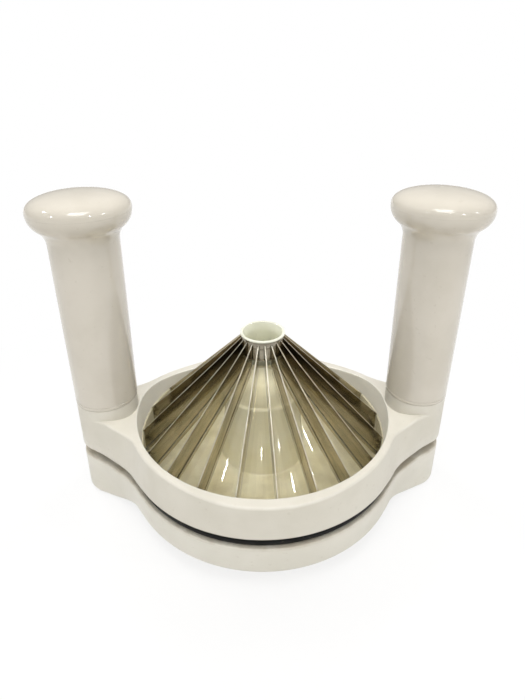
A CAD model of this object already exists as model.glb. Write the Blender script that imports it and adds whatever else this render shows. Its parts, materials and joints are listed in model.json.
# %% [markdown]
# # An onion blossom cutter, dressed for the camera
# The solid model of the cutter is loaded first, as a fixed frame in metres. This script gives it the
# surfaces, finishes, light and camera of a studio picture. Every shape that is new here is a grid of
# points worked out with numpy, so that each formula can be read, changed and plotted.

# %% Load the frame
import json
import math

import bmesh
import bpy
import numpy as np
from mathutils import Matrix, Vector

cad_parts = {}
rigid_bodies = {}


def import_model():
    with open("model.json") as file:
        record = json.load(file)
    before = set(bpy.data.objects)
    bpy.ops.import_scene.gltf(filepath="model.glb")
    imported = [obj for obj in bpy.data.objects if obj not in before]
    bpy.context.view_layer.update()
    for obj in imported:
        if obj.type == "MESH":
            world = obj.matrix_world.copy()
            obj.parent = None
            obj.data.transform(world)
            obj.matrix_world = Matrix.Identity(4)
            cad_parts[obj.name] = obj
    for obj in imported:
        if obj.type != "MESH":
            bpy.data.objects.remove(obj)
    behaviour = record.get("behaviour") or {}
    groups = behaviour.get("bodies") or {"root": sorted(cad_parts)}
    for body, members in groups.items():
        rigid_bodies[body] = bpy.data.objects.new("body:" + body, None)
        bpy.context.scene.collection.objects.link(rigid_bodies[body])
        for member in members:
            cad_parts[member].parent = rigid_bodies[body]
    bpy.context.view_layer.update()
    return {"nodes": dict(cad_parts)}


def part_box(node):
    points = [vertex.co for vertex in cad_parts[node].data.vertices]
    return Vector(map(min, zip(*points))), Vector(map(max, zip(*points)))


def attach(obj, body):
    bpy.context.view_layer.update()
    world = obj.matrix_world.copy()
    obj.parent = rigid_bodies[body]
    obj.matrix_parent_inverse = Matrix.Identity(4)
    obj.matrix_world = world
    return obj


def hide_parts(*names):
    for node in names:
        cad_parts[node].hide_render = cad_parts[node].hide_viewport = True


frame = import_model()
nodes = frame["nodes"]
scene = bpy.context.scene
mm = 0.001

# %% [markdown]
# ## The camera
# The picture was taken from close by, a little above the knobs, so the handles lean apart on the image
# although they stand upright. A short lens near the object gives the same lean. The frame is 525 by 700,
# and the lens looks at a point above its middle, which the camera's vertical shift takes care of.

# %% Camera
image_h = 700
focal_px = 516.4
middle_y_px = 294.8
look_down = math.radians(24.67)
look_aside = math.radians(1.71)
camera_place = (-6.5, -216.1, 205.6)
sensor_mm = 36.0

camera_data = bpy.data.cameras.new("photo_camera")
camera_data.sensor_fit = "VERTICAL"
camera_data.sensor_height = sensor_mm
camera_data.lens = focal_px / image_h * sensor_mm
camera_data.shift_y = (middle_y_px - image_h / 2) / image_h
camera = bpy.data.objects.new("photo_camera", camera_data)
camera.location = [along * mm for along in camera_place]
camera.rotation_euler = (math.pi / 2 - look_down, 0.0, -look_aside)
scene.collection.objects.link(camera)
scene.camera = camera
print("lens in mm:", round(camera_data.lens, 2), "shift:", round(camera_data.shift_y, 4))

# %% [markdown]
# ## From a grid of numbers to a mesh
# A grid of points becomes a surface when each point is joined to its right and upper neighbour. The same
# helper then serves a turned knob, a ring with lugs and a blade. Each point also carries a number that
# says how much it lies on an outer edge, so that a finish can show rubbed edges without guessing where
# they are.

# %% Grid to mesh
same_place, no_length = 2e-6, 1e-6


def surface(name, sheets, sharp=38.0, lay=None):
    """Mesh object from grids of points in millimetres.

    sheets: list of (points, edge, closed). points has the shape (rows, columns, 3), and row i, column j is
    joined to row i + 1 and column j + 1 by one four-sided face. Columns always close on themselves, rows only
    where closed is true. edge is a number for each point, 1 on an outer edge. Points that fall together are
    merged. sharp: angle in degrees beyond which an edge stays sharp. lay: a vector kept for each point.
    """
    verts, faces, marks = [], [], []
    start = 0
    for points, edge, closed in sheets:
        rows, cols = points.shape[:2]
        index = start + np.arange(rows * cols).reshape(rows, cols)
        below = index if closed else index[:-1]
        above = np.roll(index, -1, axis=0) if closed else index[1:]
        quads = np.stack([below, np.roll(below, -1, 1), np.roll(above, -1, 1), above], axis=-1)
        verts.append(points.reshape(-1, 3))
        marks.append(np.broadcast_to(edge, (rows, cols)).reshape(-1))
        faces.append(quads.reshape(-1, 4))
        start += rows * cols
    verts = np.concatenate(verts) * mm
    mesh = bpy.data.meshes.new(name)
    mesh.from_pydata(verts.tolist(), [], np.concatenate(faces).tolist())
    mark = mesh.attributes.new("edge", "FLOAT", "POINT")
    mark.data.foreach_set("value", np.concatenate(marks).astype(np.float32))
    if lay is not None:
        store = mesh.attributes.new("lay", "FLOAT_VECTOR", "POINT")
        store.data.foreach_set("vector", lay.reshape(-1).astype(np.float32))
    work = bmesh.new()
    work.from_mesh(mesh)
    bmesh.ops.remove_doubles(work, verts=work.verts, dist=same_place)
    bmesh.ops.dissolve_degenerate(work, edges=work.edges, dist=no_length)
    bmesh.ops.recalc_face_normals(work, faces=work.faces)
    work.to_mesh(mesh)
    work.free()
    mesh.shade_smooth()
    mesh.set_sharp_from_angle(angle=math.radians(sharp))
    piece = bpy.data.objects.new(name, mesh)
    scene.collection.objects.link(piece)
    return piece


def bend(centre_r, centre_z, radius, first, last, steps):
    """Points of an arc as (radius, height): centre + radius * (cos a, sin a), a in degrees."""
    a = np.radians(np.linspace(first, last, steps + 1))
    return np.stack([centre_r + radius * np.cos(a), centre_z + radius * np.sin(a)], axis=1)


def profile(*parts):
    """Joins pieces of a profile, each a pair of points and edge weight, into points and weights."""
    points, weights = [], []
    for given, weight in parts:
        points.append(np.atleast_2d(np.asarray(given, float)))
        weights.append(np.full(len(points[-1]), weight, float))
    return np.concatenate(points), np.concatenate(weights)


def turned(line, centre_x=0.0, columns=128, closed=False):
    """A profile turned about an upright axis: x = cx + r cos t, y = r sin t, z = z."""
    points, weights = line
    t = np.linspace(0, 2 * np.pi, columns, endpoint=False)
    grid = np.stack([
        centre_x + points[:, :1] * np.cos(t),
        points[:, :1] * np.sin(t),
        np.repeat(points[:, 1:], columns, axis=1)], axis=-1)
    return grid, weights[:, None], closed


def new_rows():
    """Empty lists of rows and edge weights, and the function that adds a row to them."""
    rows, marks = [], []

    def add(plan, z, mark):
        rows.append(np.column_stack([plan, np.broadcast_to(z, len(plan))]))
        marks.append(mark)

    return rows, marks, add


def dress(piece, body, slot_name, *stands_for):
    """Names what the piece rides on, the finish it belongs to and the solids that it stands for."""
    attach(piece, body)
    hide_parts(*stands_for)
    print(piece.name, "faces:", len(piece.data.polygons), "stands for", ", ".join(stands_for) or "no solid")


def smooth_step(t):
    """0 below 0, 1 above 1, and 3 t^2 - 2 t^3 between."""
    t = np.clip(t, 0, 1)
    return t * t * (3 - 2 * t)


print("helpers ready")

# %% [markdown]
# ## The plan outline
# Ring and lugs share one outline: a big arc, a hollow blend and a small arc round each handle. All arcs
# touch without a kink, so moving the outline inwards only changes the radii. That is what lets one
# profile with rounded edges run round the whole ring.

# %% Outline of ring and lugs
reach = 77.7
ring_r, lug_r, blend_r = 68.4, 14.6, 40.0
sunk_r = 10.5

blend_x = ((ring_r + blend_r) ** 2 - (lug_r + blend_r) ** 2 + reach ** 2) / (2 * reach)
blend_y = math.sqrt((ring_r + blend_r) ** 2 - blend_x ** 2)
ring_end = math.atan2(blend_y, blend_x)
lug_end = math.atan2(blend_y, blend_x - reach)


def quarter(arcs):
    """Columns of one quarter: centre, direction, radius, and the sign with which an inset changes the radius.

    Each arc is a centre, a radius, that sign, its first and last angle and its number of steps.
    """
    cols = []
    for cx, cy, radius, sign, first, last, steps in arcs:
        a = np.linspace(first, last, steps, endpoint=False)
        one = np.ones(steps)
        cols.append(np.stack([cx * one, cy * one, np.cos(a), np.sin(a), radius * one, sign * one]))
    return np.concatenate(cols, axis=1)


def all_round(part):
    """The quarter and its mirror images, in order round the ring."""
    flip_y = np.array([1, -1, 1, -1, 1, 1])[:, None]
    flip_x = np.array([-1, 1, -1, 1, 1, 1])[:, None]
    right = np.concatenate([part, (part * flip_y)[:, ::-1]], axis=1)
    return np.concatenate([right, (right * flip_x)[:, ::-1]], axis=1)


def outline(columns, inset):
    """Plan points at an inset: centre + (radius - sign * inset) * direction."""
    cx, cy, ux, uy, radius, sign = columns
    r = radius - sign * inset
    return np.stack([cx + r * ux, cy + r * uy], axis=1)


ring_arc = (0, 0, ring_r, 1, math.pi / 2, ring_end, 44)
blend_arc = (blend_x, blend_y, blend_r, -1, math.pi + ring_end, math.pi + lug_end, 30)
lug_arc = (reach, 0, lug_r, 1, lug_end, 0.0, 18)
lug_front_arc = (reach, 0, lug_r, 1, lug_end, math.radians(60), 12)
sunk_arc = (reach, 0, sunk_r, 0, math.radians(100), math.pi, 12)
housing_columns = all_round(quarter([ring_arc, blend_arc, lug_arc]))
frame_columns = all_round(quarter([ring_arc, blend_arc, lug_front_arc, sunk_arc]))
print("outline columns:", housing_columns.shape[1])
print("blend centre in mm:", round(blend_x, 2), round(blend_y, 2))

# %% [markdown]
# ## The cutter ring
# The upper moulding is a drafted ring with softly rounded edges. Its top is level in front and falls in a
# soft wave towards the rear. A lathe shape couldn't have the lugs, and a boolean would leave hard seams,
# so the section is carried along the outline, row by row, and its height depends on how far back a point
# lies.

# %% Cutter ring
base_top, frame_low, frame_top, rear_top = 22.9, 28.5, 45.3, 34.5
seat_top, seat_r, wall_low_r, wall_high_r = 33.3, 66.0, 61.3, 62.5
seam_z = 52.9
edge_top, edge_low, edge_in, edge_collar = 1.3, 0.6, 0.6, 0.35
fall_from, fall_over = 5.0, 60.4
swell_most, swell_from, swell_over = 2.1, 54.0, 33.0
dive_most, dive_from, dive_over = 0.3, 82.0, 2.5
lean_front, lean_more = 0.5, 1.7
climb_most, sink_most = 2.2, 0.8
spigot_r, spigot_h, bush_room_r, flange_room_r, flange_room_h = 10.75, 12.0, 8.35, 9.95, 1.6


def ring_top(y):
    """Height of the ring's top: level up to fall_from, then half a cosine wave down over fall_over."""
    t = np.clip((y - fall_from) / fall_over, 0, 1)
    return frame_top - (frame_top - rear_top) * (1 - np.cos(np.pi * t)) / 2


def wall_r(z):
    """Radius of the drafted inner wall at a height."""
    return wall_low_r + (wall_high_r - wall_low_r) * (z - seat_top) / (frame_top - edge_in - seat_top)


def swell(columns):
    """Outward swell of the hollow blend, swell_most half-way between ring and lug: sin(pi t)^2 along x."""
    x = np.abs(outline(columns, 0.0)[:, 0])
    return swell_most * np.sin(np.pi * np.clip((x - swell_from) / swell_over, 0, 1)) ** 2


def dive(columns):
    """Depth by which the outline goes in under the collar, beyond the swell: a smooth step along x."""
    x = np.abs(outline(columns, 0.0)[:, 0])
    return dive_most * smooth_step((x - dive_from) / dive_over)


def lean(columns):
    """How far the upper outer edge lies inside the lower one: least in front, most at the lugs, 0 behind."""
    x, y = outline(columns, 0.0).T
    sideways = lean_front + lean_more * smooth_step((np.abs(x) - 8.0) / 36.0)
    return sideways * smooth_step((20.0 - y) / 30.0)


def lug_lift(plan):
    """Height added to the top: smooth steps up in front of the lug's collar and down behind it."""
    x, y = np.abs(plan[:, 0]), plan[:, 1]
    climb = climb_most * smooth_step((x - 64.0) / 12.0) * smooth_step((2.0 - y) / 12.0)
    return climb - sink_most * smooth_step((x - 50.0) / 15.0) * smooth_step((y - 5.0) / 10.0)


def ring_section():
    """Grid of the cutter ring: rows go up the outside, over the top, down the inside and back below."""
    plain_x = np.abs(outline(frame_columns, 0.0)[:, 0])
    upright = smooth_step((plain_x - 62.0) / 12.0)
    low_edge = dive(frame_columns) - swell(frame_columns)
    lug_edge = dive(frame_columns) - 0.15 * swell(frame_columns)
    high_edge = (1 - upright) * lean(frame_columns) + upright * lug_edge
    outer = outline(frame_columns, low_edge)
    angle = np.arctan2(outer[:, 1], outer[:, 0])
    ray = np.stack([np.cos(angle), np.sin(angle)], axis=1)
    rows, marks, add = new_rows()

    def top_z(plan):
        return ring_top(plan[:, 1]) + lug_lift(plan)

    for a in np.radians(np.linspace(-90, 0, 6)):
        plan = outline(frame_columns, low_edge + edge_low * (1 - np.cos(a)))
        add(plan, frame_low + edge_low * (1 + np.sin(a)), 0.6)
    for f in (0.25, 0.5, 0.75):
        low = frame_low + edge_low
        plan = outline(frame_columns, low_edge + f * (high_edge - low_edge))
        add(plan, low + f * (top_z(outline(frame_columns, high_edge)) - edge_top - low), 0.0)
    for a in np.radians(np.linspace(0, 90, 10)):
        plan = outline(frame_columns, high_edge + edge_top * (1 - np.cos(a)))
        add(plan, top_z(plan) - edge_top * (1 - np.sin(a)), np.sin(2 * a) ** 2)
    outside = outline(frame_columns, high_edge + edge_top)
    brim = ray * (wall_r(ring_top(ray[:, 1] * 62) - edge_in) + edge_in)[:, None]
    for f in (0.2, 0.5, 0.8):
        plan = outside + f * (brim - outside)
        add(plan, top_z(plan), 0.0)
    for a in np.radians(np.linspace(90, 180, 7)):
        plan = brim + ray * edge_in * np.cos(a)
        add(plan, ring_top(plan[:, 1]) - edge_in * (1 - np.sin(a)), np.sin(2 * a) ** 2)
    high = rows[-1][:, 2]
    for f in (0.33, 0.66, 1.0):
        z = high + f * (seat_top - high)
        add(ray * wall_r(z)[:, None], z, 0.0)
    add(ray * seat_r, seat_top, 0.0)
    add(ray * seat_r, frame_low, 0.0)
    add(0.5 * (ray * seat_r + outline(frame_columns, low_edge + edge_low)), frame_low, 0.0)
    return np.stack(rows), np.array(marks)[:, None], True


def collar(side):
    """Grid of a collar and spigot: a turned profile, pressed outwards where the blade ring needs room."""
    spigot_top, flange_top = seam_z + spigot_h, frame_low + flange_room_h
    line = profile(
        (bend(lug_r - edge_low, frame_low + edge_low, edge_low, -90, 0, 5), 0.6),
        ([[lug_r, seat_top - 0.02], [lug_r, seat_top + 0.04], [lug_r, 0.5 * (seat_top + seam_z)]], 0.0),
        (bend(lug_r - edge_collar, seam_z - edge_collar, edge_collar, 0, 90, 5), 1.0),
        ([[spigot_r, seam_z], [spigot_r, spigot_top], [bush_room_r, spigot_top]], 0.0),
        ([[bush_room_r, flange_top], [flange_room_r, flange_top], [flange_room_r, frame_low]], 0.0))
    grid, marks, closed = turned(line, side * reach, 96, True)
    out = np.hypot(grid[..., 0], grid[..., 1])
    pressed = np.where(grid[..., 2] < seat_top, np.maximum(out, seat_r + 0.15), out)
    grid[..., :2] *= (pressed / out)[..., None]
    return grid, marks, closed


cutter_ring = surface("cutter_ring", [ring_section(), collar(-1), collar(1)])
dress(cutter_ring, "cutter", "housing_cream", "cutter_frame")

# %% [markdown]
# ## The base
# The lower moulding repeats the outline, a hair smaller. Under the lugs it reaches down to two feet, and
# a foot ring under the floor carries the middle. Its underside is a smooth ramp that depends on the
# distance from the middle plane alone, which is how the outline sweeps from the ring down to a foot.

# %% Base housing
base_low, ramp_in, ramp_out = 8.0, 56.0, 80.0
floor_low, floor_high = 12.9, 15.9
base_edge, deck_edge, inset, foot_swell = 3.0, 0.8, 0.2, 0.35
foot_in_r, foot_out_r, small_edge, half_way_r = 52.2, 55.2, 0.4, 30.0
groove_in_r, groove_out_r, groove_deep, tray_seat_r = 62.435, 65.835, 0.4, 61.2


def under(x):
    """Height of the underside: base_low under the ring, a smooth step down to the table at the lugs."""
    return base_low * (1 - smooth_step((np.abs(x) - ramp_in) / (ramp_out - ramp_in)))


def base_section():
    """Grid of the base: underside, foot ring, outside, deck with its groove, and the tray's seat."""
    edge = inset - swell(housing_columns)
    foot_edge = inset - foot_swell * swell(housing_columns)
    outer = outline(housing_columns, edge)
    angle = np.arctan2(outer[:, 1], outer[:, 0])
    ray = np.stack([np.cos(angle), np.sin(angle)], axis=1)
    rows, marks, add = new_rows()

    for r, z in ((0.0, floor_low), (half_way_r, floor_low), (foot_in_r, floor_low), (foot_in_r, small_edge),
                 (foot_in_r + small_edge, 0.0), (foot_out_r - small_edge, 0.0), (foot_out_r, small_edge)):
        add(ray * r, z, 0.0)
    first = ray * foot_out_r
    add(first, under(first[:, 0]), 0.0)
    last = outline(housing_columns, foot_edge + base_edge)
    for f in (0.2, 0.4, 0.6, 0.8):
        plan = first + f * (last - first)
        add(plan, under(plan[:, 0]), 0.0)
    for a in np.radians(np.linspace(-90, 0, 10)):
        plan = outline(housing_columns, foot_edge + base_edge * (1 - np.cos(a)))
        add(plan, under(outer[:, 0]) + base_edge * (1 + np.sin(a)), 0.7 * np.sin(2 * a) ** 2)
    low = under(outer[:, 0]) + base_edge
    for f in (0.25, 0.5, 0.75):
        plan = outline(housing_columns, foot_edge + f * (edge - foot_edge))
        add(plan, low + f * (base_top - deck_edge - low), 0.0)
    for a in np.radians(np.linspace(0, 90, 8)):
        plan = outline(housing_columns, edge + deck_edge * (1 - np.cos(a)))
        add(plan, base_top - deck_edge * (1 - np.sin(a)), np.sin(2 * a) ** 2)
    add(0.5 * (outline(housing_columns, edge + deck_edge) + ray * groove_out_r), base_top, 0.0)
    groove_z = base_top - groove_deep
    for r, z in ((groove_out_r, base_top), (groove_out_r, groove_z), (groove_in_r, groove_z),
                 (groove_in_r, base_top), (tray_seat_r + small_edge, base_top),
                 (tray_seat_r, base_top - small_edge), (tray_seat_r, floor_high),
                 (half_way_r, floor_high), (0.0, floor_high)):
        add(ray * r, z, 0.0)
    return np.stack(rows), np.array(marks)[:, None], False


base_shell = surface("base_shell", [base_section()])
dress(base_shell, "base", "housing_cream", "base_housing")

# %% [markdown]
# ## Handles and knobs
# A handle is a turned form: a shaft that widens a little upwards, a hollow, and the round rim of the
# knob. A Screw modifier could turn a drawn line, but arcs that touch are worked out here, so the hollow
# runs into the rim without a kink. The cap on top follows a curve that is squarer than an ellipse, so the
# knob stays full to the hand.

# %% Handles and knob caps
knob_z, shaft_low_r, shaft_high_r = 147.3, 14.8, 15.3
knob_r, knob_rim, knob_hollow, knob_rise, knob_full = 21.9, 9.0, 9.0, 7.5, 2.5
bore_r, bore_top, plug_floor = 8.6, 135.3, 138.2
plug_r, plug_h, seat_gap = 8.5, 9.0, 0.02
socket_r, socket_h = spigot_r + 0.1, spigot_h + 0.12
shaft_edge, line_up, line_deep, line_half = 0.35, 1.7, 0.16, 0.2


def handle_profile():
    """Shaft, hollow and rim as tangent arcs, a fine line round the foot, and the bores for guide and plug."""
    rim_r = knob_r - knob_rim
    apart = shaft_high_r + knob_hollow - rim_r
    drop = math.sqrt((knob_rim + knob_hollow) ** 2 - apart ** 2)
    meet = math.degrees(math.atan2(drop, -apart))
    low = seam_z + seat_gap
    line_z = line_up + line_half * np.array([-1.0, -0.4, 0.0, 0.4, 1.0])
    z = np.concatenate([[shaft_edge], line_z, np.linspace(2.4, knob_z - drop - low, 12)])
    shaft = np.column_stack([shaft_low_r + (shaft_high_r - shaft_low_r) * z / z[-1], low + z])
    shaft[2:5, 0] -= line_deep * np.array([0.625, 1.0, 0.625])
    socket = low + socket_h
    return profile(
        ([[0, bore_top], [bore_r, bore_top], [bore_r, socket], [socket_r, socket], [socket_r, low]], 0.0),
        (bend(shaft_low_r - shaft_edge, low + shaft_edge, shaft_edge, -90, -10, 4), 0.8),
        (shaft, 0.0),
        (bend(shaft_high_r + knob_hollow, knob_z - drop, knob_hollow, 180, meet, 16)[1:], 0.0),
        (bend(rim_r, knob_z, knob_rim, meet - 180, 0, 18)[1:], 0.0),
        ([[bore_r, knob_z], [bore_r, plug_floor], [0, plug_floor]], 0.0))


def cap_profile():
    """Plug below, and above it r = R cos(a)^(2/n), z = h sin(a)^(2/n), where n is knob_full."""
    low = knob_z + seat_gap
    a = np.radians(np.linspace(0, 90, 40))
    power = 2 / knob_full
    dome = np.column_stack([knob_r * np.cos(a) ** power, low + knob_rise * np.sin(a) ** power])
    dome[-1, 0] = 0.0
    return profile(([[0, knob_z - plug_h], [plug_r, knob_z - plug_h], [plug_r, low]], 0.0), (dome, 0.0))


for side, word in ((-1, "left"), (1, "right")):
    grip = surface("grip_" + word, [turned(handle_profile(), side * reach, 144)])
    dress(grip, "cutter", "handle_cream", "handle_" + word)
    cap = surface("knob_" + word, [turned(cap_profile(), side * reach, 144)])
    dress(cap, "cutter", "handle_cream", "knob_cap_" + word)

# %% [markdown]
# ## The onion tray and its pedestal
# The tray drops into the base and carries the onion on a slightly tapered drum with a hollow all round
# its foot. It could be a cylinder joined to a disc, but moulded parts have no such hard corner, so it is
# one turned profile, with its underside hollow as moulded parts are.

# %% Onion tray
tray_floor, tray_low, tray_r = 18.3, 15.92, 61.1
pedestal_top, drum_top_r, drum_low_r = 55.3, 18.8, 21.7
drum_edge, drum_foot, tray_lip, tray_wall = 1.6, 1.0, 0.6, 2.4


def tray_profile():
    """Top of the drum, its leaning side, the hollow at its foot, floor, lip and hollow underside."""
    tilt = math.degrees(math.atan2(drum_low_r - drum_top_r, pedestal_top - tray_floor))
    return profile(
        ([[0, pedestal_top], [8, pedestal_top], [15, pedestal_top]], 0.0),
        (bend(drum_top_r - drum_edge, pedestal_top - drum_edge, drum_edge, 90, tilt, 8), 0.5),
        (bend(drum_low_r + drum_foot, tray_floor + drum_foot, drum_foot, 180 + tilt, 270, 8), 0.0),
        ([[40, tray_floor], [tray_r - 1.7, tray_floor]], 0.0),
        (bend(tray_r - tray_lip, tray_floor + 0.2, tray_lip, 150, 0, 8), 0.8),
        ([[tray_r, tray_low], [drum_low_r - tray_wall, tray_low]], 0.0),
        ([[drum_top_r - tray_wall, pedestal_top - tray_wall], [0, pedestal_top - tray_wall]], 0.0))


tray = surface("tray_with_drum", [turned(tray_profile(), 0.0, 144)])
dress(tray, "base", "tray_ivory", "onion_tray")

# %% [markdown]
# ## The rubber ring
# A black rubber cord lies in a groove round the base and softens the stop. A plain torus would do, but
# moulded rubber shows a fine line where its mould closes, so a section with that line is turned.

# %% Rubber ring
cord_r, cord_ring_r, cord_z = 2.865, 64.135, 25.385
flash_high, flash_wide = 0.06, 0.06


def cord_section():
    """Circle of cord_r about cord_ring_r, with a low moulding line that is trimmed on its outer side."""
    a = np.linspace(0, 2 * np.pi, 40, endpoint=False)
    r = cord_r + flash_high * np.exp(-(np.angle(np.exp(1j * a)) / flash_wide) ** 2)
    out = cord_ring_r + r * np.cos(a) - flash_high * (np.cos(a) > 0.99)
    return np.column_stack([out, cord_z + r * np.sin(a)]), np.zeros(len(a))


rubber = surface("rubber_cord", [turned(cord_section(), 0.0, 192, True)], 60)
dress(rubber, "base", "bumper_rubber", "bumper_ring")

# %% [markdown]
# ## The blade ring
# The ring that holds the outer ends of the blades lies in a seat under the cutter ring. A thin skirt
# hangs from it and hides the rubber ring from inside, as the photo shows. Ring and skirt are one profile,
# so no seam shows between them.

# %% Blade ring
ring_bore_r, skirt_wall, skirt_lean, skirt_low = 60.7, 0.3, 0.15, base_top + 0.05


def ring_profile():
    """Flat ring with a thin skirt below its bore, whose inner side narrows by skirt_lean on the way down."""
    low_corner, high_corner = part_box("blade_ring")
    low, top, out_r = low_corner[2] / mm, high_corner[2] / mm, high_corner[0] / mm
    skirt_r = ring_bore_r + skirt_wall
    return profile(
        ([[ring_bore_r - skirt_lean, skirt_low], [skirt_r, skirt_low], [skirt_r, low]], 0.0),
        ([[out_r, low], [out_r, top]], 0.0),
        ([[skirt_r, top], [ring_bore_r, top - skirt_wall]], 0.5))


seat_ring = surface("blade_seat_ring", [turned(ring_profile(), 0.0, 192, True)], 30)
dress(seat_ring, "cutter", "tray_ivory", "blade_ring")

# %% [markdown]
# ## The guide posts
# Two turned posts stand in the base and run up inside the handles. They show only when the cutter is
# lifted off. The solids have the same shape, and the turned ones here have a smoother round top.

# %% Guide posts
post_r, post_low, post_top, post_edge = 6.0, 6.92, 127.3, 2.4

for side, word in ((-1, "left"), (1, "right")):
    line = profile(
        ([[0, post_low], [post_r, post_low], [post_r, 22.0], [post_r, 60.0], [post_r, 95.0]], 0.0),
        (bend(post_r - post_edge, post_top - post_edge, post_edge, 0, 90, 8), 0.5),
        ([[0, post_top]], 0.0))
    post = surface("post_" + word, [turned(line, side * reach, 72)])
    dress(post, "base", "post_steel", "guide_post_" + word)

# %% [markdown]
# ## The core tube
# At the tip of the cone a white tube takes the onion's core. Its lip flares and covers the edge of the
# steel sleeve. The lip is small on the picture but bright, so its edges are true arcs and not a bevel.

# %% Core tube
core_bore_r, core_out_r, lip_r, lip_edge, lip_h, lip_w = 8.0, 9.2, 10.7, 0.36, 0.88, 1.35
core_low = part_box("core_sleeve")[0][2] / mm - 3.0
sleeve_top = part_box("core_sleeve")[1][2] / mm


def core_profile():
    """Tube that reaches 3 mm below the sleeve, with a rounded lip and a bore that flares over 4.2 mm."""
    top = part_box("core_tube")[1][2] / mm
    lip_low = top - lip_h
    return profile(
        ([[core_bore_r, core_low], [core_out_r, core_low]], 0.0),
        ([[core_out_r, lip_low], [lip_r - 0.2, lip_low]], 0.0),
        ([[lip_r, lip_low + 0.2]], 0.5),
        (bend(lip_r - lip_edge, top - lip_edge, lip_edge, 0, 90, 6), 1.0),
        (bend(lip_r - lip_w + lip_edge, top - lip_edge, lip_edge, 90, 160, 6), 0.6),
        ([[8.6, top - 1.9], [8.15, top - 3.2], [core_bore_r, top - 4.2], [core_bore_r, top - 8.0]], 0.0))


core = surface("core_lip", [turned(core_profile(), 0.0, 96, True)])
dress(core, "cutter", "core_plastic", "core_tube")

# %% [markdown]
# ## The blades
# Twenty ground strips stand on edge like the ribs of an umbrella. Each has a softly broken spine, flat
# faces and a ground edge below. A tab at the tip of the cone holds it, and its outer end stops just short
# of the ring's wall. A flat box would have no spine that catches the light, so a section is carried along
# the blade's length. Each point keeps its place along and across the strip, in millimetres, so that the
# grinding marks can follow it.

# %% Blades
blade_out_r, spine_r, blade_in_r = 60.5, 10.1, 9.35
thick, land, grind, soft = 0.6, 0.12, 1.8, 0.16
phase, count = 4.7, 20
spine_out_z = seat_top + 1.1
depth, tab_depth, tab_bevel, floor_room, wall_room = 14.8, 7.1, 0.06, 1.5, 0.2
lay_step, lay_apart = 311.0, 40.0


def blade_grid(number):
    """Closed sections along the strip: land, ground bevel, flat face and broken spine, on both sides."""
    spine_in_z = spine_out_z + blade_out_r - spine_r
    r = np.concatenate([[blade_in_r, spine_r, spine_r], np.linspace(spine_r + 0.8, blade_out_r - 0.6, 34),
                        [blade_out_r, blade_out_r, wall_low_r - wall_room]])
    high = spine_out_z + blade_out_r - r
    lowest = np.maximum(high - depth, tray_floor + floor_room)
    high[:2], lowest[:3] = spine_in_z - 0.1, spine_in_z - tab_depth
    lowest[-2:] = seat_top + 0.05
    bevel = np.full(len(r), grind)
    bevel[:2], bevel[-2:] = tab_bevel, tab_bevel
    a = np.radians(np.linspace(0, 90, 4))
    side_t = np.concatenate([[land / 2, thick / 2, thick / 2], thick / 2 - soft + soft * np.cos(a)])
    from_low = np.array([0, 1, 0, 0, 0, 0, 0.0])
    from_high = np.concatenate([[0, 0, -soft - 0.05], -soft + soft * np.sin(a)])
    is_low = np.array([1, 1, 0, 0, 0, 0, 0.0])
    z_half = (is_low * (lowest[:, None] + from_low * bevel[:, None])
              + (1 - is_low) * (high[:, None] + from_high))
    t = np.concatenate([side_t, -side_t[::-1]])
    z = np.concatenate([z_half, z_half[:, ::-1]], axis=1)
    mark = np.concatenate([[0, 0, 0, 0.6, 1, 1, 1], [1, 1, 1, 0.6, 0, 0, 0]]).astype(float)
    t = np.broadcast_to(t, z.shape)
    r = np.broadcast_to(r[:, None], z.shape)
    flat = np.zeros_like(t[:1])
    t = np.concatenate([flat, t, flat])
    r = np.concatenate([r[:1], r, r[-1:]])
    z = np.concatenate([z[:1], z, z[-1:]])
    turn = math.radians(-90 + phase + 360 / count * (number - 1))
    x = r * math.cos(turn) - t * math.sin(turn)
    y = r * math.sin(turn) + t * math.cos(turn)
    # The lay is the place along and across the strip, moved on from blade to blade
    along = (r - z) / math.sqrt(2) + lay_step * number
    across = (r + z) / math.sqrt(2)
    lay = np.stack([along, across, lay_apart * np.sign(t)], axis=-1)
    return np.stack([x, y, z], axis=-1), mark[None, :], lay


for number in range(1, count + 1):
    points, mark, lay = blade_grid(number)
    word = f"{number:02d}"
    strip = surface("strip_" + word, [(points, mark, False)], 30, lay)
    dress(strip, "cutter", "blade_steel", "blade_" + word)

# %% [markdown]
# ## The clear fingers
# Between the blades the photo shows clear, glossy panels with bright streaks along them. They are drawn
# as a slotted cone of clear plastic under the blades, one finger in each gap, from the core tube to the
# blade ring. A flat panel would mirror a lamp all over or not at all, so each finger is crowned across
# its width, which draws the streaks. The solids don't have this piece.

# %% Clear fingers
finger_drop, finger_thick, finger_gap, finger_crown = 10.0, 1.4, 0.35, 0.18
finger_in_r, finger_out_r = core_out_r, 60.6
stations, across_count = 30, 15


def finger_grid(number):
    """Closed sections along the finger: z = spine - drop - crown * r * half * u^2, less the thickness below.

    half is half the finger's angle, and u runs from 1 to -1 across it.
    """
    r = np.linspace(finger_in_r, finger_out_r, stations)[:, None]
    u = np.linspace(1, -1, across_count)
    u = np.concatenate([u, u[::-1]])[None, :]
    below = np.repeat([0.0, finger_thick], across_count)[None, :]
    half = np.radians(180 / count) - (thick / 2 + finger_gap) / r
    z = spine_out_z + blade_out_r - r - finger_drop - finger_crown * r * half * u ** 2 - below
    angle = math.radians(-90 + phase + 360 / count * (number - 0.5)) + u * half
    points = np.stack([r * np.cos(angle), r * np.sin(angle), z], axis=-1)
    ends = points.mean(axis=1, keepdims=True)[[0, -1]]
    ends = np.broadcast_to(ends, (2,) + points.shape[1:])
    return np.concatenate([ends[:1], points, ends[1:]]), np.zeros((1, 1)), False


fingers = surface("clear_fingers", [finger_grid(number) for number in range(1, count + 1)], 30)
dress(fingers, "cutter", "core_plastic")

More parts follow.
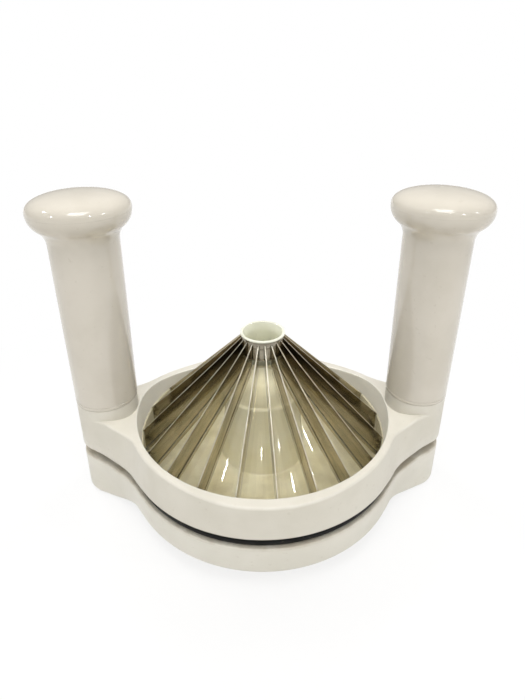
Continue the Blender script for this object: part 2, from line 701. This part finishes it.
# %% [markdown]
# ## Shared finishes as node groups
# Several finishes have something in common: moulded plastics have a fine grain and soft clouds, steel has
# grinding lines, seams gather a brownish dirt and edges are rubbed. Each effect is one node group with
# named inputs, which the materials then use with their own values.

# %% Node helpers
def new_group(name, ins, outs):
    """Empty shader group with named sockets. ins: (name, kind, value), outs: (name, kind)."""
    group = bpy.data.node_groups.new(name, "ShaderNodeTree")
    for label, kind, value in ins:
        socket = group.interface.new_socket(name=label, in_out="INPUT", socket_type="NodeSocket" + kind)
        if value is not None:
            socket.default_value = value
    for label, kind in outs:
        group.interface.new_socket(name=label, in_out="OUTPUT", socket_type="NodeSocket" + kind)
    return group, group.nodes.new("NodeGroupInput"), group.nodes.new("NodeGroupOutput")


def feed(tree, node, values):
    """Gives inputs of a node their values. A value that is a socket is linked."""
    for label, value in values.items():
        if isinstance(value, bpy.types.NodeSocket):
            tree.links.new(value, node.inputs[label])
        else:
            node.inputs[label].default_value = value
    return node


def put(tree, kind, values=None, **settings):
    """A new node with settings, and values or links for its inputs."""
    node = tree.nodes.new("ShaderNode" + kind)
    for label, value in settings.items():
        setattr(node, label, value)
    return feed(tree, node, values or {})


def maths(tree, operation, first, second=0.0, third=0.0, clamp=False):
    """One Math node, and its result."""
    node = put(tree, "Math", {0: first, 1: second, 2: third}, operation=operation, use_clamp=clamp)
    return node.outputs[0]


def spread(tree, value, low, high, to_low=0.0, to_high=1.0):
    """Value mapped smoothly from low..high to to_low..to_high."""
    values = {"Value": value, "From Min": low, "From Max": high, "To Min": to_low, "To Max": to_high}
    return put(tree, "MapRange", values, interpolation_type="SMOOTHSTEP").outputs["Result"]


def blend_colour(tree, share, first, second):
    """Colour mixed from two by a share. A Mix node keeps its colours in inputs 6 and 7, and puts out 2."""
    return put(tree, "Mix", {0: share, 6: first, 7: second}, data_type="RGBA").outputs[2]


def from_axis(tree, place):
    """Distance of a place from the cone's axis: length of (x, y, 0)."""
    level = put(tree, "VectorMath", {0: place, 1: (1.0, 1.0, 0.0)}, operation="MULTIPLY").outputs[0]
    return put(tree, "VectorMath", {0: level}, operation="LENGTH").outputs["Value"]


def srgb(r, g, b):
    """Colour as written on screen, 0 to 255, turned into the linear numbers that the shader needs."""
    c = np.array([r, g, b]) / 255.0
    c = np.where(c <= 0.04045, c / 12.92, ((c + 0.055) / 1.055) ** 2.4)
    return (float(c[0]), float(c[1]), float(c[2]), 1.0)


print("node helpers ready")

# %% [markdown]
# ### Moulded grain
# Moulded plastic is never one flat tone: it has broad clouds, a few specks and a grain too fine to see as
# shape. Three noises of different size give these three, and a picture of grain would show its repeats.

# %% Moulded grain
grain_group, gi, go = new_group(
    "moulded_grain",
    [("Place", "Vector", None), ("Cloud Size", "Float", 60.0), ("Grain Size", "Float", 1500.0)],
    [("Cloud", "Float"), ("Speck", "Float"), ("Height", "Float")])
cloud = put(grain_group, "TexNoise", {"Vector": gi.outputs["Place"], "Scale": gi.outputs["Cloud Size"],
                                      "Detail": 4.0, "Roughness": 0.55})
fine = put(grain_group, "TexNoise", {"Vector": gi.outputs["Place"], "Scale": gi.outputs["Grain Size"],
                                     "Detail": 3.0, "Roughness": 0.6})
dots = put(grain_group, "TexNoise", {"Vector": gi.outputs["Place"], "Scale": 420.0, "Detail": 2.0})
grain_group.links.new(spread(grain_group, cloud.outputs["Fac"], 0.3, 0.7), go.inputs["Cloud"])
grain_group.links.new(spread(grain_group, dots.outputs["Fac"], 0.66, 0.76), go.inputs["Speck"])
grain_group.links.new(fine.outputs["Fac"], go.inputs["Height"])
print("group:", grain_group.name)

# %% [markdown]
# ### Seam dirt
# Dirt gathers where two pieces meet. All seams here lie level, so the mask depends on the height alone,
# and a noise breaks it into patches.

# %% Seam dirt
dirt_group, gi, go = new_group(
    "seam_dirt", [("Place", "Vector", None), ("Level", "Float", 0.02), ("Reach", "Float", 0.002)],
    [("Mask", "Float")])
part_z = put(dirt_group, "SeparateXYZ", {0: gi.outputs["Place"]}).outputs["Z"]
away = maths(dirt_group, "ABSOLUTE", maths(dirt_group, "SUBTRACT", part_z, gi.outputs["Level"]))
near = maths(dirt_group, "SUBTRACT", 1.0, maths(dirt_group, "DIVIDE", away, gi.outputs["Reach"]), clamp=True)
patchy = put(dirt_group, "TexNoise", {"Vector": gi.outputs["Place"], "Scale": 110.0, "Detail": 5.0})
broken = spread(dirt_group, patchy.outputs["Fac"], 0.32, 0.68, 0.25, 1.0)
fading = maths(dirt_group, "POWER", near, 1.6)
dirt_group.links.new(maths(dirt_group, "MULTIPLY", fading, broken), go.inputs["Mask"])
print("group:", dirt_group.name)

# %% [markdown]
# ### Dried residue
# Juice dries into dark clots in the corner along the ring's wall. The mask grows with the distance from
# the cone's axis, and a coarse noise leaves only clots of it.

# %% Dried residue
residue_group, gi, go = new_group(
    "dried_residue", [("Place", "Vector", None), ("From", "Float", 0.05), ("To", "Float", 0.06)],
    [("Mask", "Float")])
out_r = from_axis(residue_group, gi.outputs["Place"])
towards = spread(residue_group, out_r, gi.outputs["From"], gi.outputs["To"])
blots = put(residue_group, "TexNoise", {"Vector": gi.outputs["Place"], "Scale": 330.0,
                                        "Detail": 6.0, "Roughness": 0.65})
clots = spread(residue_group, blots.outputs["Fac"], 0.42, 0.62)
residue_group.links.new(maths(residue_group, "MULTIPLY", towards, clots), go.inputs["Mask"])
print("group:", residue_group.name)

# %% [markdown]
# ### Rubbed edges
# Hands and cloths rub outer edges pale. The meshes already carry an edge weight for each point, so the
# group only has to break it up.

# %% Rubbed edges
rub_group, gi, go = new_group(
    "rubbed_edge", [("Edge", "Float", 0.0), ("Place", "Vector", None)], [("Mask", "Float")])
worn = put(rub_group, "TexNoise", {"Vector": gi.outputs["Place"], "Scale": 160.0, "Detail": 4.0})
rub_group.links.new(maths(rub_group, "MULTIPLY", gi.outputs["Edge"],
                          spread(rub_group, worn.outputs["Fac"], 0.35, 0.65, 0.3, 1.0)), go.inputs["Mask"])
print("group:", rub_group.name)

# %% [markdown]
# ### Grinding lines
# Ground steel has fine parallel lines, and longer smears from wiping. Both are noises stretched along the
# lay, which is the direction of grinding that a blade's mesh carries, or the way round a turned piece.

# %% Grinding lines
steel_group, gi, go = new_group(
    "grinding_lines", [("Lay", "Vector", None), ("Line Size", "Float", 6.0)],
    [("Line", "Float"), ("Smear", "Float"), ("Height", "Float")])
long_lay = put(steel_group, "VectorMath", {0: gi.outputs["Lay"], 1: (0.03, 1.0, 1.0)}, operation="MULTIPLY")
lines = put(steel_group, "TexNoise", {"Vector": long_lay.outputs[0], "Scale": gi.outputs["Line Size"],
                                      "Detail": 4.0, "Roughness": 0.65})
smear_lay = put(steel_group, "VectorMath", {0: gi.outputs["Lay"], 1: (0.035, 0.3, 0.1)}, operation="MULTIPLY")
smears = put(steel_group, "TexNoise", {"Vector": smear_lay.outputs[0], "Scale": 1.0, "Detail": 5.0,
                                       "Roughness": 0.6, "Distortion": 0.6})
steel_group.links.new(spread(steel_group, lines.outputs["Fac"], 0.3, 0.7), go.inputs["Line"])
steel_group.links.new(spread(steel_group, smears.outputs["Fac"], 0.34, 0.66), go.inputs["Smear"])
steel_group.links.new(lines.outputs["Fac"], go.inputs["Height"])
print("group:", steel_group.name)


# %% [markdown]
# ### Helpers for finishes
# Each finish is a material with one Principled shader. The plastics differ only in tone, gloss and dirt,
# so one function makes them all from the groups above.

# %% Material helpers
def new_finish(name):
    """Material with its Principled shader, its node tree and the Object coordinates."""
    material = bpy.data.materials.new(name)
    material.use_nodes = True
    tree = material.node_tree
    place = tree.nodes.new("ShaderNodeTexCoord").outputs["Object"]
    return material, tree, tree.nodes["Principled BSDF"], place


def use(tree, group, values):
    """A group placed in a material, with values or links for its inputs."""
    return put(tree, "Group", values, node_tree=group)


def paint(material, *pieces):
    """Puts a material on pieces as their only one."""
    for piece in pieces:
        piece.data.materials.clear()
        piece.data.materials.append(material)


def moulded(name, colour, deeper, rubbed, dirt, rough, coat, bump, seams, cloud_size=45.0, inside=None,
            clots=None):
    """A moulded plastic: two close tones in clouds, rubbed edges, dirt at the seams and a fine grain.

    rough: roughness of the two tones. seams: height in mm, reach in mm and share of each line of dirt.
    inside: radius about the cone's axis in mm, and the colour of the plastic within it.
    clots: radii in mm between which dried residue begins, and its share.
    """
    material, tree, shader, place = new_finish(name)
    grain = use(tree, grain_group, {"Place": place, "Cloud Size": cloud_size, "Grain Size": 1700.0})
    tone = blend_colour(tree, grain.outputs["Cloud"], srgb(*colour), srgb(*deeper))
    if inside:
        limit, inner_colour = inside
        within = spread(tree, from_axis(tree, place), (limit - 0.3) * mm, (limit + 0.3) * mm, 1.0, 0.0)
        tone = blend_colour(tree, within, tone, srgb(*inner_colour))
    speck = maths(tree, "MULTIPLY", grain.outputs["Speck"], 0.10)
    tone = blend_colour(tree, speck, tone, srgb(*dirt))
    edge = put(tree, "Attribute", attribute_name="edge").outputs["Fac"]
    rub = use(tree, rub_group, {"Edge": edge, "Place": place})
    tone = blend_colour(tree, maths(tree, "MULTIPLY", rub.outputs["Mask"], 0.45), tone, srgb(*rubbed))
    for level, far, share in seams:
        seam = use(tree, dirt_group, {"Place": place, "Level": level * mm, "Reach": far * mm})
        tone = blend_colour(tree, maths(tree, "MULTIPLY", seam.outputs["Mask"], share), tone, srgb(*dirt))
    if clots:
        begin, full, share = clots
        residue = use(tree, residue_group, {"Place": place, "From": begin * mm, "To": full * mm})
        tone = blend_colour(tree, maths(tree, "MULTIPLY", residue.outputs["Mask"], share), tone, srgb(*dirt))
    gloss = spread(tree, grain.outputs["Cloud"], 0.0, 1.0, *rough)
    feed(tree, shader, {"Base Color": tone, "Roughness": gloss, "IOR": 1.5, "Coat Weight": coat,
                        "Coat Roughness": 0.08})
    relief = put(tree, "Bump", {"Strength": bump, "Distance": 0.0002, "Height": grain.outputs["Height"]})
    tree.links.new(relief.outputs["Normal"], shader.inputs["Normal"])
    print("finish:", name)
    return material


# %% [markdown]
# ## Plastics
# The housing is satin cream, the handles are the same plastic with more gloss, and the tray is yellower
# from onion juice. One plain colour would look like paint, so the tone drifts a little over each piece,
# seams are darker and the outer edges paler.

# %% Plastics
housing_seams = [(frame_low, 1.3, 0.6), (base_top, 1.6, 0.5), (0.0, 2.0, 0.25)]
housing_finish = moulded(
    "housing_cream_satin", (224, 219, 206), (217, 212, 198), (233, 229, 218), dirt=(150, 132, 100),
    rough=(0.36, 0.48), coat=0.0, bump=0.10, seams=housing_seams + [(seam_z, 0.5, 0.5)],
    inside=(wall_high_r + 0.1, (247, 243, 230)))
base_finish = moulded(
    "base_cream_satin", (231, 227, 215), (224, 220, 207), (238, 235, 226), dirt=(150, 132, 100),
    rough=(0.36, 0.48), coat=0.0, bump=0.10, seams=housing_seams)
grip_finish = moulded(
    "grip_cream_gloss", (219, 212, 199), (212, 205, 191), (230, 226, 216), dirt=(150, 134, 104),
    rough=(0.07, 0.12), coat=0.25, bump=0.02,
    seams=[(seam_z, 0.6, 0.45), (knob_z, 0.15, 0.25), (knob_z - 6.5, 6.5, 0.4)])
tray_finish = moulded(
    "tray_ivory_gloss", (248, 243, 218), (242, 235, 204), (250, 246, 228), dirt=(140, 118, 66),
    rough=(0.08, 0.16), coat=0.35, bump=0.02, seams=[(tray_floor, 1.2, 0.25), (pedestal_top, 0.6, 0.12)],
    cloud_size=70.0, clots=(57.5, 60.0, 0.6))
core_finish = moulded(
    "core_white_gloss", (232, 232, 214), (220, 220, 196), (246, 246, 238), dirt=(92, 84, 64),
    rough=(0.14, 0.22), coat=0.2, bump=0.02, seams=[(core_low, 4.5, 0.85)])
bush_finish = moulded(
    "bush_white", (226, 225, 216), (216, 214, 203), (236, 235, 228), dirt=(140, 128, 100),
    rough=(0.45, 0.55), coat=0.0, bump=0.06, seams=[])
ring_finish = moulded(
    "blade_ring_ivory", (236, 229, 202), (226, 217, 184), (240, 234, 212), dirt=(128, 112, 76),
    rough=(0.25, 0.4), coat=0.0, bump=0.05, seams=[(seat_top, 0.5, 0.45)])
paint(housing_finish, cutter_ring)
paint(base_finish, base_shell)
paint(tray_finish, tray)
paint(ring_finish, seat_ring)
paint(core_finish, core)
paint(bush_finish, nodes["guide_bush_left"], nodes["guide_bush_right"])
for word in ("left", "right"):
    paint(grip_finish, bpy.data.objects["grip_" + word], bpy.data.objects["knob_" + word])

# %% [markdown]
# ## Clear plastic
# The fingers are clear with a yellow tint. Mixing in a transparent shader would not bend the view behind
# them, so the shader transmits light. Juice has left smears that scatter a little of the gloss.

# %% Clear plastic
clear_finish, tree, shader, place = new_finish("finger_clear_plastic")
grain = use(tree, grain_group, {"Place": place, "Cloud Size": 60.0, "Grain Size": 1700.0})
tone = blend_colour(tree, grain.outputs["Cloud"], srgb(255, 254, 248), srgb(253, 250, 237))
gloss = spread(tree, grain.outputs["Cloud"], 0.0, 1.0, 0.004, 0.018)
feed(tree, shader, {"Base Color": tone, "Roughness": gloss, "Transmission Weight": 1.0, "IOR": 1.49})
paint(clear_finish, fingers)
print("finish:", clear_finish.name)

# %% [markdown]
# ## Steels
# The blades are ground along their length and have seen use: their faces are dull and brownish with
# smears, and only the spines are rubbed bright. The lines follow the lay that each blade's mesh carries,
# because one direction for all would cross most blades. Sleeve and posts have level lines round them.

# %% Steels
gathered_dirt, dried_juice = (66, 58, 44), (70, 62, 44)
juice_from, juice_to, juice_share = 54.5, 60.5, 0.8


def ground_steel(name, face, smear, bright, rough, line_size, round_axis=False, seam=None):
    """A used steel: grinding lines, smears that darken it and bright rubbed edges.

    seam: height in mm where dirt has gathered, how far it reaches and its share.
    """
    material, tree, shader, place = new_finish(name)
    if round_axis:
        x, y, z = put(tree, "SeparateXYZ", {0: place}).outputs
        about = maths(tree, "MULTIPLY", maths(tree, "ARCTAN2", y, x), 10.0)
        lay = put(tree, "CombineXYZ", {0: about, 1: maths(tree, "MULTIPLY", z, 1000.0)}).outputs[0]
    else:
        lay = put(tree, "Attribute", attribute_name="lay").outputs["Vector"]
    steel = use(tree, steel_group, {"Lay": lay, "Line Size": line_size})
    tone = blend_colour(tree, steel.outputs["Smear"], srgb(*face), srgb(*smear))
    tone = blend_colour(tree, maths(tree, "MULTIPLY", steel.outputs["Line"], 0.22), tone, srgb(*bright))
    if seam:
        level, far, share = seam
        gathered = use(tree, dirt_group, {"Place": place, "Level": level * mm, "Reach": far * mm})
        share = maths(tree, "MULTIPLY", gathered.outputs["Mask"], share)
        tone = blend_colour(tree, share, tone, srgb(*gathered_dirt))
    if not round_axis:
        edge = put(tree, "Attribute", attribute_name="edge").outputs["Fac"]
        rub = use(tree, rub_group, {"Edge": edge, "Place": place})
        tone = blend_colour(tree, maths(tree, "MULTIPLY", rub.outputs["Mask"], 0.95), tone, srgb(*bright))
        residue = use(tree, residue_group, {"Place": place, "From": juice_from * mm, "To": juice_to * mm})
        share = maths(tree, "MULTIPLY", residue.outputs["Mask"], juice_share)
        tone = blend_colour(tree, share, tone, srgb(*dried_juice))
    dull = spread(tree, steel.outputs["Smear"], 0.0, 1.0, *rough)
    if not round_axis:
        dull = maths(tree, "MULTIPLY_ADD", edge, 0.3, dull)
    feed(tree, shader, {"Base Color": tone, "Metallic": 1.0, "Roughness": dull})
    relief = put(tree, "Bump", {"Strength": 0.025, "Distance": 0.0002, "Height": steel.outputs["Height"]})
    tree.links.new(relief.outputs["Normal"], shader.inputs["Normal"])
    print("finish:", name)
    return material


blade_finish = ground_steel(
    "blade_ground_steel", (201, 192, 172), (168, 157, 134), (224, 219, 204),
    rough=(0.09, 0.17), line_size=5.0)
sleeve_finish = ground_steel(
    "sleeve_drawn_steel", (164, 157, 142), (136, 128, 110), (222, 217, 204),
    rough=(0.18, 0.3), line_size=3.0, round_axis=True, seam=(sleeve_top, 3.5, 0.8))
post_finish = ground_steel(
    "post_polished_steel", (200, 199, 194), (182, 180, 172), (240, 240, 236),
    rough=(0.12, 0.2), line_size=4.0, round_axis=True)
paint(blade_finish, *[bpy.data.objects[f"strip_{number:02d}"] for number in range(1, count + 1)])
paint(sleeve_finish, nodes["core_sleeve"])
paint(post_finish, bpy.data.objects["post_left"], bpy.data.objects["post_right"])

# %% [markdown]
# ## Rubber
# The cord is nearly black, with a dull skin and a little pale dust. Pure black would show no shape, so a
# weak gloss and a fine grain are left on it.

# %% Rubber
rubber_finish, tree, shader, place = new_finish("cord_black_rubber")
grain = use(tree, grain_group, {"Place": place, "Cloud Size": 120.0, "Grain Size": 2200.0})
tone = blend_colour(tree, grain.outputs["Cloud"], srgb(5, 5, 4), srgb(11, 10, 9))
tone = blend_colour(tree, maths(tree, "MULTIPLY", grain.outputs["Speck"], 0.25), tone, srgb(120, 114, 100))
gloss = spread(tree, grain.outputs["Cloud"], 0.0, 1.0, 0.42, 0.6)
feed(tree, shader, {"Base Color": tone, "Roughness": gloss, "Specular IOR Level": 0.18})
relief = put(tree, "Bump", {"Strength": 0.15, "Distance": 0.0002, "Height": grain.outputs["Height"]})
tree.links.new(relief.outputs["Normal"], shader.inputs["Normal"])
paint(rubber_finish, rubber)
print("finish:", rubber_finish.name)

# %% [markdown]
# ## Floor and background
# The object stands on a plain white floor. Seen straight or in a reflection the floor is white and fades
# into the white background, and near the object it still takes a soft shadow. For diffuse light it is an
# ordinary pale floor.

# %% Floor
floor_half = 4000.0 * mm
floor_corners = [(x * floor_half, y * floor_half, 0.0) for x, y in ((-1, -1), (1, -1), (1, 1), (-1, 1))]

floor_mesh = bpy.data.meshes.new("floor")
floor_mesh.from_pydata(floor_corners, [], [(0, 1, 2, 3)])
floor = bpy.data.objects.new("floor", floor_mesh)
scene.collection.objects.link(floor)
floor_finish, tree, shader, place = new_finish("floor_white")
feed(tree, shader, {"Base Color": srgb(236, 235, 232), "Roughness": 0.9, "Specular IOR Level": 0.1})
glow = put(tree, "Emission", {"Color": (1.0, 1.0, 1.0, 1.0), "Strength": 1.0})
rays = tree.nodes.new("ShaderNodeLightPath").outputs
seen = maths(tree, "ADD", maths(tree, "ADD", rays["Is Camera Ray"], rays["Is Glossy Ray"]),
             rays["Is Transmission Ray"], clamp=True)
far = put(tree, "VectorMath", {0: place}, operation="LENGTH").outputs["Value"]
fade = spread(tree, far, 0.06, 0.24, 0.80, 1.0)
share = maths(tree, "MULTIPLY", seen, fade)
mix = put(tree, "MixShader", {0: share, 1: shader.outputs[0], 2: glow.outputs[0]})
tree.links.new(mix.outputs[0], tree.nodes["Material Output"].inputs["Surface"])
paint(floor_finish, floor)
print("floor ready")

# %% [markdown]
# ## Light
# A bright room: pale air, wide soft lamps above and behind, and a few small ones whose images sit on the
# knobs as spots and on the clear fingers as streaks. One big lamp would light as well but leave no spots.
# Most of the wide lamps are hidden from mirror rays, so that steel and plastic don't show them as panels.

# %% Light
air_light = 0.27
lamp_far, lamp_target = 1600.0, (0.0, 0.0, 80.0)

scene.view_settings.view_transform = "Standard"
world = bpy.data.worlds.new("studio_air")
scene.world = world
world.use_nodes = True
air = world.node_tree
air.nodes.clear()
out = air.nodes.new("ShaderNodeOutputWorld")
rays = air.nodes.new("ShaderNodeLightPath").outputs
seen = maths(air, "ADD", rays["Is Camera Ray"], rays["Is Transmission Ray"], clamp=True)
level = put(air, "Mix", {0: seen, 2: air_light, 3: 1.0}, data_type="FLOAT")
back = put(air, "Background", {"Color": (1.0, 1.0, 1.0, 1.0), "Strength": level.outputs[0]})
air.links.new(back.outputs[0], out.inputs["Surface"])


def soft_lamp(name, azimuth, elevation, size, power):
    """Square area lamp in a direction from the origin, lamp_far off, that looks at lamp_target.

    Place: far * (sin az cos el, -cos az cos el, sin el). A square's size is in mm.
    """
    data = bpy.data.lights.new(name, "AREA")
    data.shape = "RECTANGLE"
    data.size = size * mm
    data.size_y = size * mm
    data.energy = power
    lamp = bpy.data.objects.new(name, data)
    az, el = math.radians(azimuth), math.radians(elevation)
    here = lamp_far * np.array([math.sin(az) * math.cos(el), -math.cos(az) * math.cos(el), math.sin(el)])
    look = np.array(lamp_target) - here
    look /= np.linalg.norm(look)
    pitch = math.acos(-look[2])
    yaw = math.atan2(look[1], look[0]) - math.pi / 2
    lamp.location = here * mm
    lamp.rotation_euler = (pitch, 0.0, yaw)
    scene.collection.objects.link(lamp)
    print("lamp:", name, power, "W")
    return lamp


# Name, azimuth and elevation in degrees, size in mm, power in watts
lamps = (
    ("high_front", -2, 72, 700, 10.3),
    ("overhead", 0, 88, 420, 3.0),
    ("camera_side", -2, 42, 500, 0.9),
    ("rear_left", -135, 50, 600, 7.2),
    ("rear_right", 135, 50, 600, 6.8),
    ("ceiling_left", -103, 48, 90, 1.0),
    ("ceiling_right", 70, 36, 80, 1.9),
    ("ceiling_near", -54, 39, 72, 1.8),
    ("ceiling_mid", 6, 48, 36, 0.9),
    ("ceiling_front", 36, 41, 68, 1.6))
for name, *rest in lamps:
    lamp = soft_lamp(name, *rest)
    lamp.visible_glossy = name.startswith(("ceiling", "high"))
